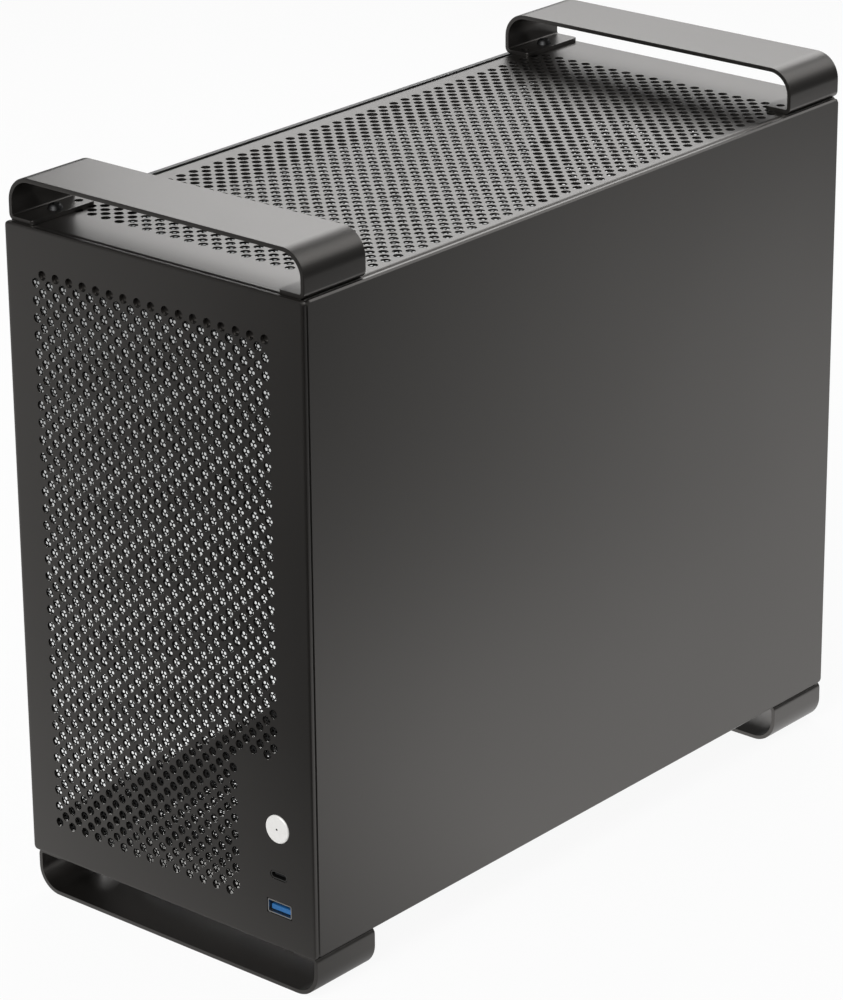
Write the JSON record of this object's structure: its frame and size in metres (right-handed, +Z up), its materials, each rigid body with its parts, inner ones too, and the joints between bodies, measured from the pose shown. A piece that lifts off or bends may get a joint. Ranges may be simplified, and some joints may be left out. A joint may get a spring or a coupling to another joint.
{
  "type": "micro-atx computer case",
  "caption": "Narrow tower computer case of black folded sheet with a perforated front and top, bent strip handles and feet, a glass side and a solid side.",
  "frame": {"origin": "centre of the overall box at the bottom of the feet", "axes": "+Z up, -Y towards the perforated front, +X towards the solid side panel"},
  "size_m": [0.171, 0.3756, 0.34],
  "materials": {
    "black_aluminium": "satin anodised, fine bead-blasted grain",
    "black_steel": "fine black powder coat",
    "tinted_glass": "polished, ground edges",
    "bond_strip": "matt black",
    "filter_mesh": "fine perforated black mesh",
    "turned_aluminium": "fine turned rings",
    "dark_screw": "black zinc",
    "stud_steel": "plain turned",
    "clip_plastic": "moulded",
    "socket_shell": "nickel plated",
    "blue_insert": "moulded",
    "black_insert": "moulded",
    "circuit_board": "solder mask",
    "brass_standoff": "machined hexagon",
    "inlet_plastic": "moulded",
    "inlet_blade": "nickel plated"
  },
  "bodies": {
    "case": {"front_panel": "black_aluminium", "top_panel": "black_aluminium", "bottom_panel": "black_aluminium", "front_handle": "black_aluminium", "rear_handle": "black_aluminium", "front_foot": "black_aluminium", "rear_foot": "black_aluminium", "rear_panel": "black_steel", "motherboard_tray": "black_steel", "psu_bracket": "black_steel", "io_bracket": "black_steel", "slot_cover_1": "black_steel", "slot_cover_2": "black_steel", "slot_cover_3": "black_steel", "slot_cover_4": "black_steel", "front_dust_filter": "filter_mesh", "top_dust_filter": "filter_mesh", "bottom_dust_filter": "filter_mesh", "handle_screws": "dark_screw", "foot_screws": "dark_screw", "front_panel_screws": "dark_screw", "slot_screws": "dark_screw", "ac_inlet_screws": "dark_screw", "psu_bracket_screws": "dark_screw", "io_screws": "dark_screw", "side_panel_clips": "clip_plastic", "glass_clips": "clip_plastic", "power_switch": "clip_plastic", "usb_a_shell": "socket_shell", "usb_c_shell": "socket_shell", "usb_a_tongue": "blue_insert", "usb_c_tongue": "black_insert", "io_board": "circuit_board", "standoffs": "brass_standoff", "ac_inlet": "inlet_plastic", "ac_inlet_pins": "inlet_blade"},
    "button": {"power_button": "turned_aluminium"},
    "side_panel": {"right_side_panel": "black_aluminium", "side_panel_studs": "stud_steel"},
    "glass_panel": {"left_glass_panel": "tinted_glass", "glass_top_strip": "bond_strip", "glass_bottom_strip": "bond_strip", "glass_studs": "stud_steel"}
  },
  "joints": [
    {"name": "button_press", "type": "slide", "parent": "case", "child": "button", "axis": [0, 1, 0], "range_m": [0, 0.0012], "stiffness_N_per_m": 900},
    {"name": "side_panel_pull", "type": "slide", "parent": "case", "child": "side_panel", "axis": [1, 0, 0], "range_m": [0, 0.06]},
    {"name": "glass_panel_pull", "type": "slide", "parent": "case", "child": "glass_panel", "axis": [-1, 0, 0], "range_m": [0, 0.06]}
  ]
}
